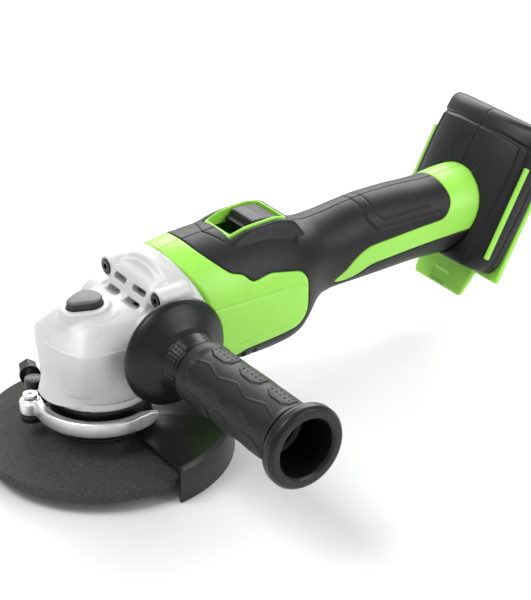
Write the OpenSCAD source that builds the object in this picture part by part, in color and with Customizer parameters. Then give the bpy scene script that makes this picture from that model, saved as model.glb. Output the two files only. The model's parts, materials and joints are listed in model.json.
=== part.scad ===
// Cordless angle grinder, 125 mm, built as separate pieces in one frame.
// Frame: origin on the spindle axis at the lower face of the disc nut, +Z up
// along the spindle, +Y rearwards along the motor and handle, +X towards the
// side handle. Millimetres.

/* [Grinding disc] */
// outside diameter of the grinding disc
disc_d = 125; // [115:5:125]
// thickness of the disc at its rim
disc_t = 6; // [3:0.5:7]
// bore of the disc
disc_bore = 22.23; // [22.2:0.01:22.3]

/* [Guard and clamp] */
// outside diameter of the guard skirt
guard_d = 134; // [128:1:140]
// sheet thickness of the guard
guard_t = 1.6; // [1.2:0.1:2.5]
// lowest point of the guard skirt below the frame origin
guard_drop = 8.5; // [4:0.5:10]
// outside radius of the clamp lever
lever_r = 34; // [31:0.5:36]
// height of the clamp lever
lever_h = 8; // [5:0.5:8]

/* [Gear head] */
// height of the motor axis above the frame origin
motor_z = 59; // [57:0.5:60]
// teeth on the crown gear
crown_n = 37; // [35:1:39]
// teeth on the motor pinion
pinion_n = 11; // [10:1:12]
// pitch radius of the crown gear at its rim
crown_r = 19.5; // [19:0.1:19.8]
// radius of the round lower part of the gear head
head_r = 28; // [27:0.5:29]

/* [Spindle] */
// thread radius of the spindle's free end
spindle_r = 7; // [7:0.5:8]

/* [Side handle] */
// distance of the side handle axis behind the spindle
handle_y = 18; // [17:0.5:19]
// radius of the grip
grip_r = 16.4; // [15:0.2:17]
// distance from the spindle axis to the outer end of the side handle
handle_end = 147.5; // [130:0.5:150]
// radius of the hand flange
flange_r = 28; // [24:0.5:30]

/* [Housing] */
// thickness of the soft outer skin
skin = 1.6; // [1.2:0.1:2]
// thickness of the green shell under the skin
shell_t = 2.4; // [2:0.1:3]

/* [Battery block] */
// tilt of the battery block, top to the rear
block_tilt = 29; // [25:1:32]
// half width of the battery block at its open rear edge
block_w = 38; // [36:0.5:40]

/* [Moving pieces] */
// press travel of the spindle lock button
lock_travel = 4; // [3:0.5:5]
// forward travel of the power switch slider
switch_travel = 8; // [6:0.5:9]

/* [Hidden] */
$fn = 64;
e = 0.01;
mz = motor_z;

c_silver = [0.86,0.86,0.85];
c_green = [0.62,0.89,0.32];
c_black = [0.16,0.16,0.17];
c_rubber = [0.11,0.11,0.12];
c_steel = [0.66,0.67,0.69];
c_dark = [0.08,0.08,0.085];

// ---------------------------------------------------------------- housing loft
NP = 36;
// y, half width, top z, bottom z, centre z, upper and lower squareness
SEC = [[36,32,91,27,59,2.0,2.4],[42,33,92.2,25.4,59,2.05,2.6],[52,33.6,93.2,24.5,59,2.1,2.8],
 [68,33.6,93.7,24.2,59,2.1,2.8],[86,33.2,93.6,24.2,59,2.1,2.8],[98,32,92.4,24.6,59,2.1,2.8],
 [106,30.4,89.6,25.6,59.5,2.1,2.7],[111,28.4,87,28,60,2.1,2.6],[116,25.8,84.8,32.2,61,2.1,2.5],[121,23.4,83.2,36.8,62,2.1,2.4],
 [128,21.2,82.4,39.8,62.4,2.1,2.3],[138,20.2,82.8,40.3,62.6,2.1,2.2],[152,20,84.4,40,62.6,2.1,2.2],[168,20,85.4,39.8,62.6,2.1,2.2],
 [184,20,85,39.8,62.6,2.1,2.2],[198,20.4,83.8,39.6,62.4,2.1,2.2],[210,21.6,83,39,62,2.1,2.2],[227,23.4,83.6,38.6,62,2.1,2.2],[246,23.4,83.6,38.6,62,2.1,2.2]];
function sg(v) = v < 0 ? -1 : 1;
function se(c,n) = sg(c)*pow(abs(c),2/n);
function ring(s,d) = [for (i=[0:NP-1]) let(a=360*(i+0.5)/NP, c=cos(a), q=sin(a), n = q>=0 ? s[5] : s[6])
    [(s[1]-d)*se(c,n), s[4]+(q>=0 ? s[2]-d-s[4] : s[4]-s[3]-d)*se(q,n)]];
// two neighbouring sections joined; the faces only have to close, the hull makes the skin
module span(p,q) { n = len(p); polyhedron(points=concat(p,q), faces=concat([[for (i=[0:n-1]) i]],[[for (i=[n-1:-1:0]) n+i]],
 [for (i=[0:n-1]) [i,n+i,(i+1)%n]],[for (i=[0:n-1]) [(i+1)%n,n+i,n+(i+1)%n]])); }
function ring3(s,d) = [for (q=ring(s,d)) [q[0],s[0],q[1]]];
module body(d,a=0,b=18) { for (i=[a:b-1]) hull() span(ring3(SEC[i],d),ring3(SEC[i+1],d)); }
// the side outline in the y-z plane, carried across the whole width
module across(p,w=80) { translate([-w/2,0,0]) rotate([90,0,90]) linear_extrude(w) polygon(p); }
module nose(r) { translate([0,93,10]) cylinder(r=r,h=100,$fn=96); translate([-50,60,10]) cube([100,200,100]); }
PANEL = [[20,10],[20,110],[49,110],[49.5,93],[52,90],[62,81],[68.5,79.3],[72.5,74.5],[84,76],[93.6,73.8],[103.5,71],
 [107.4,66],[107.4,47.5],[105,42.5],[100.5,39.6],[68.3,38],[58,33],[50,20],[44,10]];
STRIPE = [[131,50.5],[140,47.6],[148.5,48.8],[156.3,53.6],[201.7,55.4],[219.6,57],[230,58],[230,100],[209.5,100],[209.5,75],[203,66.8],[154.2,65.2],[146,61.5],[138.5,54.5]];
module green_zone() { across(PANEL); across(STRIPE); translate([-50,210,20]) cube([100,50,80]); }
module half(side) { translate([side>0?0:-60,0,0]) cube([60,400,160]); }
// screw posts of the two shells: y, z
POSTS = [[57.5,30.4],[96,30.8],[57.5,86.9],[126,46],[200,74.5],[206,46.5]];
module shell(side) {
 difference() {
  intersection() {
   union() {
    difference() {
     union() { body(skin); intersection() { body(0); green_zone(); } }
     body(skin+shell_t);
    }
    intersection() { body(skin+0.5,0,17); union() {
      for (p=POSTS) translate([-40,p[0],p[1]]) rotate([0,90,0]) cylinder(r=3.4,h=80,$fn=20);
      // stator saddles and rear bearing seat
      for (y=[64,83]) translate([0,y+3,mz]) rotate([90,0,0]) difference() { cylinder(r=34,h=3,$fn=48); translate([0,0,-1]) cylinder(r=25.2,h=5,$fn=48); }
      translate([0,104,mz]) rotate([90,0,0]) difference() { cylinder(r=30,h=5,$fn=48); translate([0,0,-1]) cylinder(r=9.55,h=7,$fn=48); }
     } }
   }
   half(side); nose(56.5);
  }
  // seat of the gear head spigot
  translate([0,30,mz]) rotate([-90,0,0]) cylinder(r=28.8,h=12,$fn=64);
  // shaft, rod and switch openings
  translate([-12.3,70.2,85.5]) cube([24.6,36.9,12]);
  translate([-5.2,60,83.8]) cube([10.4,64,4.2]);
  translate([-9,98,72]) cube([18,28,13]);
  translate([-5,112,72]) cube([10,14,9]);
  for (p=POSTS) translate([-40,p[0],p[1]]) rotate([0,90,0]) cylinder(r=1.5,h=60,$fn=16);
  for (p=POSTS) translate([-60,p[0],p[1]]) rotate([0,90,0]) cylinder(r=2.9,h=60-8,$fn=16);
  // rear end, inside the battery block
  tilt() translate([-60,8.8,-90]) cube([120,60,200]);
  // clearance for the head screws
  for (s=[-1,1]) for (z=[-16.5,18.5]) translate([s*22.5,30,mz+z]) rotate([-90,0,0]) cylinder(r=2.1,h=15,$fn=32);
  // cooling air slots under the panel
  for (k=[0:4]) translate([-40,48+k*7,27]) rotate([20,0,0]) cube([80,2.6,9]);
 }
}
module over(side) {
 difference() {
  intersection() { difference() { body(0,0,17); body(skin); green_zone(); } half(side); }
  translate([-12.3,70.2,85.5]) cube([24.6,36.9,12]);
  for (p=POSTS) translate([-60,p[0],p[1]]) rotate([0,90,0]) cylinder(r=2.9,h=60-8,$fn=16);
  for (k=[0:4]) translate([-40,48+k*7,27]) rotate([20,0,0]) cube([80,2.6,9]);
  translate([-50,226.2,0]) cube([100,30,120]);
 }
}
module shell_left() { color(c_green) shell(-1); }
module shell_right() { color(c_green) shell(1); }
module overmould_left() { color(c_black) over(-1); }
module overmould_right() { color(c_black) over(1); }

// ---------------------------------------------------------------- gear head
module at_motor(y) { translate([0,y,mz]) rotate([-90,0,0]) children(); }
module plate(z,p) { translate([0,0,z]) linear_extrude(e) polygon([for (q=p) q, for (i=[len(p)-1:-1:0]) if (p[i][0]>0.01) [-p[i][0],p[i][1]]]); }
module head_outer() {
 translate([0,0,31.2]) cylinder(r=head_r,h=10,$fn=96);
 hull() {
  plate(38,[[0,-27.6],[9,-26.4],[17,-21.6],[26,-9],[27,4],[27.4,33]]);
  plate(58,[[0,-30.6],[12,-28.4],[23.4,-23.4],[27.6,-12],[28.6,4],[28.8,33]]);
  plate(61.5,[[0,-30.2],[12,-28],[22.8,-22.8],[27.2,-11.8],[28.2,4],[28.4,33]]);
  plate(70,[[0,-19],[9,-17.6],[15,-12.5],[17.6,-4],[18,14],[24,33]]);
  plate(72.6,[[0,-12],[7,-10],[10,-2],[10,14],[14,33]]);
 }
 // vent block
 hull() {
  translate([-18.2,14,66]) cube([36.4,e,4.6]);
  translate([-16.5,22.2,78]) cube([33,e,3.8]);
  translate([-9,21.6,78]) cube([18,e,5]);
  translate([-17.5,34,66]) cube([35,e,19]);
  translate([-8,34,66]) cube([16,e,22]);
 }
 // rear flange that meets the motor housing
 hull() { at_motor(27) cylinder(r=27.5,h=e,$fn=72); at_motor(36) cylinder(r=32,h=9,$fn=72); }
 // screw ears and side handle bosses
 for (s=[-1,1]) for (z=[-16.5,18.5]) translate([s*22.5,24.5,mz+z]) rotate([-90,0,0]) cylinder(r=5.2,h=12);
 for (s=[-1,1]) translate([s*26,handle_y,mz]) rotate([0,s*90,0]) cylinder(r=11.5,h=3.2);
 // raised collar around the lock button
 hull() { translate([0,-5,70]) cylinder(r=11.4,h=4.6); translate([0,-11.5,70]) cylinder(r=7.6,h=3.6); }
}
module gear_housing() { color(c_silver) difference() {
 union() { difference() { head_outer(); nose(56.8); } at_motor(33) cylinder(r=28.4,h=8.7,$fn=96); }
 translate([0,0,30]) cylinder(r=21.3,h=25);
 translate([0,0,54]) cylinder(r=17.5,h=3);
 at_motor(30) cylinder(r=6,h=10);
 // pinion tunnel, bearing seat, spigot bore
 at_motor(-8) cylinder(r=9.4,h=36);
 at_motor(27) cylinder(r=11,h=8);
 at_motor(36) cylinder(r=25.4,h=12);
 // needle bearing seat and spindle top clearance
 translate([0,0,50]) cylinder(r=6,h=17.8);
 // lock pin guide, spring pocket, button well
 translate([0,-9.6,50]) cylinder(r=2.35,h=40);
 translate([0,-9.6,65.1]) cylinder(r=3.9,h=20);
 translate([0,0,70.1]) linear_extrude(12) button_2d(0.35);
 // side handle threads, one each side
 for (s=[-1,1]) translate([s*17,handle_y,mz]) rotate([0,s*90,0]) cylinder(r=4,h=20);
 // cooling air slots
 for (s=[-1,1]) for (k=[0,1]) translate([s*8.5,18.2-3.4*k,78-5.9*k]) rotate([-60,0,0]) translate([-5.5,-1.6,-4]) cube([11,3.2,9]);
 translate([-13,21,74]) cube([26,30,9]);
 // cover screw and housing screw threads
 for (a=[45:90:315]) rotate(a) translate([24.3,0,28]) cylinder(r=1.75,h=13,$fn=32);
 for (s=[-1,1]) for (z=[-16.5,18.5]) translate([s*22.5,20,mz+z]) rotate([-90,0,0]) cylinder(r=2.05,h=40,$fn=32);
 for (s=[-1,1]) for (z=[-16.5,18.5]) translate([s*22.5,10,mz+z]) rotate([-90,0,0]) cylinder(r=4.3,h=13.3,$fn=32);
} }
module button_2d(d) { hull() { translate([0,-4.6]) circle(r=7.6+d,$fn=48); translate([0,-12.4]) circle(r=4+d,$fn=32); } }
module gearbox_cover() { color(c_silver) difference() {
 union() {
  translate([0,0,27]) cylinder(r1=26.8,r2=27.4,h=0.8,$fn=96);
  translate([0,0,27.8]) cylinder(r=27.4,h=3.4,$fn=96);
  translate([0,0,31]) cylinder(r=21.1,h=2.4);
  translate([0,0,15.6]) cylinder(r=23.1,h=12,$fn=96);
 }
 translate([0,0,18]) cylinder(r=16,h=30);
 translate([0,0,10]) cylinder(r=11.5,h=30);
 for (a=[45:90:315]) rotate(a) translate([24.3,0,20]) { cylinder(r=1.8,h=20,$fn=32); translate([0,0,0]) cylinder(r=2.75,h=9.4,$fn=32); }
} }
module cover_screws() { color(c_dark) for (a=[45:90:315]) rotate(a) translate([24.3,0,0]) difference() {
 union() { translate([0,0,27.1]) cylinder(r=2.65,h=2.2,$fn=32); translate([0,0,29]) cylinder(r=1.7,h=10.5,$fn=32); }
 translate([0,0,26]) cylinder(r=1.2,h=2.4,$fn=6);
} }
module head_screws() { color(c_dark) for (s=[-1,1]) for (z=[-16.5,18.5]) translate([s*22.5,0,mz+z]) difference() {
 union() { translate([0,19.4,0]) rotate([-90,0,0]) cylinder(r=3.7,h=3.8,$fn=40); translate([0,23,0]) rotate([-90,0,0]) cylinder(r=2,h=21,$fn=32); }
 translate([0,18,0]) rotate([-90,0,0]) cylinder(r=1.7,h=3.4,$fn=6);
} }
// ---------------------------------------------------------------- bearings
module race_out(ro,ri,w,rb,pr) { rotate_extrude() difference() { translate([ri,0]) square([ro-ri,w]); translate([pr,w/2]) circle(r=rb+0.03,$fn=48); } }
module bearing_outer(ro,rm,w,rb,n,pr) {
 race_out(ro,rm,w,rb,pr);
 for (i=[0:n-1]) rotate(i*360/n) translate([pr,0,w/2]) sphere(r=rb,$fn=32);
}
module bearing_inner(rm,ri,w,rb,pr) { rotate_extrude() difference() { translate([ri,0]) square([rm-ri,w]); translate([pr,w/2]) circle(r=rb+0.03,$fn=48); } }
module spindle_bearing() { color(c_steel) translate([0,0,18]) bearing_outer(16,12.9,10,2.5,9,11); }
module spindle_bearing_inner() { color(c_steel) translate([0,0,18]) bearing_inner(9.1,6,10,2.5,11); }
module front_bearing() { color(c_steel) at_motor(27.2) bearing_outer(11,9,7,1.7,8,7.6); }
module front_bearing_inner() { color(c_steel) at_motor(27.2) bearing_inner(6.2,4,7,1.7,7.6); }
module rear_bearing() { color(c_steel) at_motor(98.6) bearing_outer(9.5,7.8,6,1.5,8,6.5); }
module rear_bearing_inner() { color(c_steel) at_motor(98.6) bearing_inner(5.2,3,6,1.5,6.5); }
module needle_bearing() { color(c_steel) translate([0,0,59.8]) difference() { cylinder(r=6,h=7.9); translate([0,0,-1]) cylinder(r=4.06,h=8.4); } }
module felt_seal() { color([0.75,0.74,0.7]) translate([0,0,15.7]) difference() { cylinder(r=11.45,h=2.1); translate([0,0,-1]) cylinder(r=9.3,h=5); } }
// ---------------------------------------------------------------- spindle
module spindle() { color(c_steel) difference() {
 union() {
  translate([0,0,-2.5]) cylinder(r=spindle_r-0.1,h=2.5);
  translate([0,0,-0.1]) cylinder(r=6.1,h=1);
  translate([0,0,0.8]) cylinder(r=spindle_r,h=14.3);
  translate([0,0,15]) cylinder(r=9,h=3);
  translate([0,0,17.9]) cylinder(r=6,h=32.1);
  translate([0,0,49.9]) cylinder(r=4,h=16.9);
  translate([0,0,28.2]) cylinder(r=8,h=1.6);
 }
 translate([0,0,48.3]) difference() { cylinder(r=7,h=1.1); translate([0,0,-1]) cylinder(r=5.5,h=3); }
} }
module crown_circlip() { color(c_dark) translate([0,0,48.35]) difference() { cylinder(r=7.6,h=1); translate([0,0,-1]) cylinder(r=5.5,h=3); translate([-1.5,3,-1]) cube([3,8,3]); } }
module inner_flange() { color(c_steel) translate([0,0,10]) difference() {
 union() { cylinder(r=20.5,h=4.9); translate([0,0,-1.6]) cylinder(r=11.05,h=2); }
 translate([0,0,-3]) cylinder(r=7.02,h=10);
 translate([0,0,-2]) difference() { cylinder(r=17.5,h=2.5); translate([0,0,-1]) cylinder(r=12.5,h=5); }
} }
module flange_nut() { color(c_steel) difference() {
 union() { translate([0,0,0.3]) cylinder(r=20.5,h=3.6); translate([0,0,3.8]) cylinder(r=11.05,h=2.2); }
 translate([0,0,-1]) cylinder(r=7.02,h=9);
 for (a=[0:90:270]) rotate(a) translate([15,0,-1]) cylinder(r=2.55,h=7,$fn=32);
} }
module grinding_disc() { color([0.2,0.2,0.19]) rotate_extrude($fn=128) {
 lo = -2.5; R = disc_d/2;
 polygon([[12.2,4],[20.8,4],[27,lo],[R-0.6,lo],[R,lo+0.5],[R,lo+disc_t-0.5],[R-0.6,lo+disc_t],[28.5,lo+disc_t],[21.2,9.9],[12.2,9.9]]); } }
module disc_hub_ring() { color(c_steel) translate([0,0,4]) difference() { cylinder(r=12.2,h=6); translate([0,0,-1]) cylinder(r=disc_bore/2,h=9); } }

// ---------------------------------------------------------------- bevel gears
// A tooth is a short frustum whose sections shrink towards the apex at the
// crossing of the two axes, at height mz.
mod = 2*crown_r/crown_n;
add = 0.82*mod;
ded = 1.05*mod;
function L3(v) = sqrt(v[0]*v[0]+v[1]*v[1]+v[2]*v[2]);
// polar half angles of a tooth flank: root, pitch, tip
module bevel_teeth(n,rp,hp,th_r,th_p,th_t,s0) {
 // rp: pitch radius at the rim, hp: distance of the rim plane from the apex along the axis
 L = sqrt(rp*rp+hp*hp);
 // direction along the back cone, outwards from the pitch cone
 ur = hp/L; uh = rp/L;
 function pt(k,ang,s) = let(r = rp+k*ur, h = -hp+k*uh) [s*r*cos(ang),s*r*sin(ang),s*h];
 for (i=[0:n-1]) rotate(i*360/n) polyhedron(points=concat(
   [for (q=[[-ded-0.5,-th_r],[-ded-0.5,th_r],[0,th_p],[add,th_t],[add,-th_t],[0,-th_p]]) pt(q[0],q[1],1)],
   [for (q=[[-ded-0.5,-th_r],[-ded-0.5,th_r],[0,th_p],[add,th_t],[add,-th_t],[0,-th_p]]) pt(q[0],q[1],s0)]),
  faces=[[2,1,0],[5,2,0],[3,2,5],[4,3,5],[6,7,8],[6,8,11],[11,8,9],[11,9,10],[1,7,6,0],[2,8,7,1],[3,9,8,2],[4,10,9,3],[5,11,10,4],[0,6,11,5]]);
}
s_in = 0.66;
hc = crown_r*pinion_n/crown_n;
// half tooth angles
cp = 360/crown_n; pp = 360/pinion_n;
module crown_gear() { color(c_steel) difference() {
 union() {
  translate([0,0,mz]) rotate(90+cp/2) bevel_teeth(crown_n,crown_r,hc,cp*0.30,cp*0.205,cp*0.10,s_in);
  // blank below the root cone
  rotate_extrude($fn=74) { Lc = sqrt(crown_r*crown_r+hc*hc); ur = hc/Lc; uh = crown_r/Lc; k = -ded;
   r1 = crown_r+k*ur; h1 = mz-hc+k*uh; polygon([[6,44],[16,44],[r1,h1-3.4],[r1,h1],[r1*s_in,mz-(mz-h1)*s_in-1.15+1.15],[11.9,mz-(mz-h1)*s_in],[11.9,50],[8.2,50],[8.2,48.2],[6,48.2]]); }
 }
 for (a=[0:90:270]) rotate(a) translate([0,9.6,40]) cylinder(r=1.75,h=20,$fn=32);
} }
module pinion_gear() { color(c_steel) translate([0,0,mz]) difference() {
 union() {
  rotate([90,0,0]) rotate([0,0,-90]) bevel_teeth(pinion_n,hc,crown_r,pp*0.30,pp*0.205,pp*0.09,s_in);
  rotate([-90,0,0]) rotate_extrude($fn=44) { Lp = sqrt(crown_r*crown_r+hc*hc); ur = crown_r/Lp; uh = hc/Lp; k = -ded;
   r1 = hc+k*ur; h1 = crown_r-k*uh; polygon([[3,h1*s_in],[r1*s_in,h1*s_in],[r1,h1],[6.6,h1],[6.6,24.8],[5.6,26.9],[3,26.9]]); }
 }
 rotate([-90,0,0]) cylinder(r=3,h=40);
} }
// ---------------------------------------------------------------- spindle lock
module lock_button() { color([0.42,0.42,0.43]) difference() {
 union() { translate([0,0,74.2]) linear_extrude(4.8) button_2d(0); translate([0,0,79]) linear_extrude(0.8) button_2d(-0.9); }
 translate([0,-9.6,73]) cylinder(r=2,h=4);
} }
module lock_pin() { color(c_steel) union() {
 translate([0,-9.6,51.2]) cylinder(r=1.4,h=7.5,$fn=32);
 translate([0,-9.6,58.4]) cylinder(r=2.05,h=15.7,$fn=40);
 translate([0,-9.6,74]) cylinder(r=1.98,h=3,$fn=40);
} }
module lock_spring() { color(c_steel) translate([0,-9.6,66.7]) difference() { cylinder(r=3.3,h=7.4,$fn=40); translate([0,0,-1]) cylinder(r=2.4,h=10,$fn=40); for (k=[0:3]) translate([0,0,0.9+k*1.7]) difference() { cylinder(r=5,h=0.9); translate([0,0,-1]) cylinder(r=2.7,h=3); } } }
module lock_cap_ring() { color(c_rubber) translate([0,-9.6,65.2]) difference() { cylinder(r=3.5,h=1.2,$fn=40); translate([0,0,-1]) cylinder(r=2.4,h=4,$fn=40); } }
// ---------------------------------------------------------------- guard
module guard_shell() { color(c_dark) union() {
 intersection() {
  rotate_extrude($fn=160) { R = guard_d/2; polygon([[22.6,9.5],[R-guard_t-1.5,9.5],[R-guard_t,8],[R-guard_t,-guard_drop],[R,-guard_drop],[R,9],[R-2.1,9.5+guard_t],[22.6,9.5+guard_t]]); }
  translate([-100,3,-50]) cube([200,200,100]);
 }
 difference() { translate([0,0,9.5]) cylinder(r=27.5,h=guard_t); translate([0,0,0]) cylinder(r=22.6,h=20); }
} }
module guard_band() { color(c_dark) difference() {
 union() {
  translate([0,0,11.1]) cylinder(r=25.4,h=14.9,$fn=96);
  hull() { translate([-14,-32,11.6]) cylinder(r=5.2,h=3.6,$fn=40); translate([-10,-22,11.6]) cylinder(r=4,h=3.6,$fn=40); }
  translate([-30,-21,11.6]) cylinder(r=4.6,h=11.6,$fn=40);
  hull() { translate([-30,-21,11.6]) cylinder(r=3.6,h=9,$fn=40); translate([-20.5,-13,11.6]) cylinder(r=2.4,h=9,$fn=40); }
 }
 translate([0,0,9]) cylinder(r=23.45,h=20,$fn=96);
 rotate(-128) translate([20,-1.2,10]) cube([20,2.4,20]);
 translate([-14,-32,10]) cylinder(r=2.2,h=10,$fn=32);
 translate([-30,-21,17.4]) rotate([0,90,159]) translate([0,0,-10]) cylinder(r=2,h=20,$fn=32);
} }
module lever_pin() { color(c_steel) difference() { translate([-14,-32,0]) union() { translate([0,0,11.3]) cylinder(r=2.2,h=13.4,$fn=32); translate([0,0,24.4]) cylinder(r=3.7,h=1.6,$fn=40); translate([0,0,10.2]) cylinder(r=3.4,h=1.35,$fn=40); } translate([-14,-32,25]) cylinder(r=1.4,h=3,$fn=6); } }
module adjust_bolt() { color(c_steel) translate([-30,-21,17.4]) rotate([0,90,159]) union() { translate([0,0,-7]) cylinder(r=1.95,h=27,$fn=32); translate([0,0,-8]) cylinder(r=3,h=1.6,$fn=32); } }
module adjust_nut() { color(c_dark) translate([-30,-21,17.4]) rotate([0,90,159]) difference() { union() { translate([0,0,14]) cylinder(r=5,h=8,$fn=6); translate([0,0,13]) cylinder(r=5.4,h=1.4,$fn=40); } translate([0,0,12]) cylinder(r=1.95,h=12,$fn=32); } }
function lring(a,g=0) = [for (q=[[g+0.6,0],[4.2,0],[4.8,0.8],[4.8,lever_h-1.2],[3.6,lever_h],[g+1,lever_h],[g,lever_h-1],[g,0.6]]) [(lever_r-4.8+q[0])*cos(a),(lever_r-4.8+q[0])*sin(a),15.8+q[1]]];
module clamp_lever() { color([0.8,0.8,0.79]) difference() {
 union() {
  for (a=[-108:8:4]) hull() span(lring(a),lring(a+8));
  hull() span(lring(12),lring(17,1.8));
  hull() span(lring(17,1.8),[for (q=lring(24,2.2)) [q[0]*1.03,q[1]*1.03,(q[2]-19.8)*0.5+19.8]]);
  translate([-14,-32,15.8]) cylinder(r=5.6,h=lever_h,$fn=48);
  hull() { translate([-14,-32,16.2]) cylinder(r=4.6,h=lever_h-0.8,$fn=32); span([for (q=lring(-108)) q*0.999],lring(-104)); }
 }
 translate([-14,-32,10]) cylinder(r=2.5,h=20,$fn=32);
 rotate(6) translate([lever_r+3.4,0,10]) cylinder(r=4,h=20,$fn=40);
} }
// ---------------------------------------------------------------- side handle
module at_handle() { translate([0,handle_y,mz]) rotate([0,90,0]) children(); }
module side_handle_stud() { color(c_steel) at_handle() union() { translate([0,0,18]) cylinder(r=3.95,h=34); translate([0,0,34]) cylinder(r=6,h=12); } }
module side_handle_core() { color(c_black) at_handle() difference() {
 rotate_extrude($fn=96) { H = handle_end; F = flange_r; polygon([[0,29.6],[11,29.6],[11.6,34],[F-3,37.6],[F-0.6,39.2],[F,41],[F-0.6,43],[F-3.5,45.4],[19,49.6],[15.4,53],[14,57],[13.6,60],
   [14,63],[15,64],[15,136],[16,137.6],[20,140.4],[20.7,142],[20.7,H-2],[19.6,H-0.4],[18.6,H],[15.6,H],[14.6,H-1.2],[13.7,126],[10.6,125],[10.6,104],[0,104]]); }
 translate([0,0,17]) cylinder(r=3.95,h=35);
 translate([0,0,34]) cylinder(r=6,h=12);
} }
module side_handle_grip() { color(c_rubber) at_handle() difference() {
 union() {
  rotate_extrude($fn=96) { G = grip_r; polygon([[15,64.6],[G-0.4,64.6],[G-0.1,65.6],[G-0.2,70],[G-1,72],[G,76],[G,92],[G-0.6,95],[G,98],[G,113],[G-0.6,116],[G,119],[G,134],[G+0.6,136],[15,136]]); }
 }
 translate([0,0,50]) cylinder(r=15,h=100);
 for (a=[0:60:300]) for (z=[82,104,126]) rotate(a+30) translate([grip_r+4.4,0,z]) rotate([0,0,0]) sphere(r=5.2,$fn=24);
} }
// ---------------------------------------------------------------- motor
module motor_shaft() { color(c_steel) union() { at_motor(11.5) cylinder(r=3,h=15.7); at_motor(26.9) cylinder(r=4,h=65); at_motor(91.8) cylinder(r=3,h=14.2); } }
module fan() { color(c_black) at_motor(43) difference() { union() { cylinder(r=8,h=11); cylinder(r=24.6,h=1.8); for (i=[0:10]) rotate(i*360/11) translate([6,-0.7,1]) rotate([0,0,12]) cube([17,1.4,9.4]); } translate([0,0,-1]) cylinder(r=4,h=20); } }
module rotor_core() { color([0.45,0.45,0.46]) at_motor(62) difference() { cylinder(r=10.6,h=26); translate([0,0,-1]) cylinder(r=4,h=40); } }
module rotor_magnets() { color([0.3,0.3,0.32]) at_motor(62.5) for (i=[0:3]) rotate(i*90+3) rotate_extrude(angle=84,$fn=72) translate([10.6,0]) square([2,25]); }
module stator_core() { color([0.5,0.5,0.52]) at_motor(61) difference() {
 cylinder(r=25.1,h=28,$fn=96);
 translate([0,0,-1]) cylinder(r=13.2,h=40);
 for (i=[0:5]) rotate(i*60) translate([0,0,-1]) linear_extrude(40) difference() { intersection() { circle(r=21.6,$fn=72); polygon([[0,0],[40,-14.5],[40,14.5]]); } circle(r=15,$fn=72); }
 for (i=[0:5]) rotate(i*60) translate([12,-1,-1]) cube([5,2,40]);
} }
module stator_insulator() { color([0.9,0.9,0.85]) for (y=[58.6,89]) at_motor(y) difference() { cylinder(r=24.6,h=2.2); translate([0,0,-1]) cylinder(r=21.8,h=5); } }
module stator_windings() { color([0.72,0.4,0.18]) for (i=[0:5]) at_motor(75) rotate(30+i*60) translate([18,0,0]) difference() { cube([4.8,13,34.4],center=true); cube([8,9.6,28.2],center=true); translate([0,9,0]) rotate([0,0,22]) cube([12,8.2,40],center=true); translate([0,-9,0]) rotate([0,0,-22]) cube([12,8.2,40],center=true); } }
module sensor_board() { color([0.1,0.35,0.2]) at_motor(93.6) difference() { cylinder(r=20,h=1.6); translate([0,0,-1]) cylinder(r=8,h=4); } }
module air_baffle() { color(c_black) at_motor(55.2) difference() { cylinder(r=28.6,h=2); translate([0,0,-1]) cylinder(r=20,h=5); translate([-40,23,-1]) cube([80,12,5]); translate([-40,-35,-1]) cube([80,12,5]); } }
// ---------------------------------------------------------------- switch
module switch_bezel() { color(c_green) difference() {
 hull() { translate([-11,70.4,88]) cube([22,1,4.4]); translate([-12.1,80,88]) cube([24.2,1,7.6]); translate([-12.1,99.6,88]) cube([24.2,1,8.2]); translate([-12.1,106,88]) cube([24.2,0.9,5.4]); }
 hull() { translate([-9.75,73.4,80]) cube([19.5,1,20]); translate([-10,80,80]) cube([20,23.6,20]); }
} }
module switch_slider() { color(c_dark) difference() {
 union() {
  translate([-9.6,83.4,88.6]) cube([19.2,20,3.4]);
  hull() { translate([-9.2,85.4,92]) cube([18.4,17.4,e]); translate([-8.8,87.2,96.2]) cube([17.6,6,e]); translate([-8.8,100,94.8]) cube([17.6,2,e]); }
  translate([-3,92,85.6]) cube([6,6,3.2]);
 }
 for (k=[0:2]) translate([-12,95.4+k*2.2,95.2]) rotate([-12,0,0]) cube([24,1,2]);
} }
module slider_rod() { color(c_steel) difference() { union() {
 translate([-3,90,84.2]) cube([6,17,1.4]);
 hull() { translate([-3,106,84.2]) cube([6,1,1.4]); translate([-3,108.6,81]) cube([6,1,1.2]); }
 translate([-3,108.6,81]) cube([6,8.8,1.2]);
 translate([-3,115.9,73.4]) cube([6,1.5,8]);
} } }
module switch_module() { color([0.55,0.1,0.08]) difference() { union() { translate([-7,98.4,72.6]) cube([14,8,7.8]); translate([-2,106.4,74]) cube([4,1.3,2.4]); } translate([-8,102,71]) cube([16,2,3]); } }
// ---------------------------------------------------------------- electronics
module controller() { color([0.35,0.36,0.38]) difference() { translate([-13,134,52]) cube([26,58,18]); translate([-11,136,54]) cube([22,54,20]); for (k=[0:6]) translate([-14,139+k*7.4,50]) cube([28,2,3.6]); translate([-11,185,60]) cube([22,10,20]); } }
module rodxyz(a,b,r) { v = b-a; L = L3(v); translate(a) rotate([0,acos(v[2]/L),atan2(v[1],v[0])]) cylinder(r=r,h=L,$fn=24); }
module wire(p,r) { for (i=[0:len(p)-2]) rodxyz(p[i],p[i+1],r); for (q=p) translate(q) sphere(r=r+0.3,$fn=24); }
module wires() { color([0.65,0.1,0.08]) for (s=[-1,1]) wire([[s*5,191,66],[s*6,214,66],[s*7,236,68],[s*7,246,73],[s*7,249.6,77]],1.7); }
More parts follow.
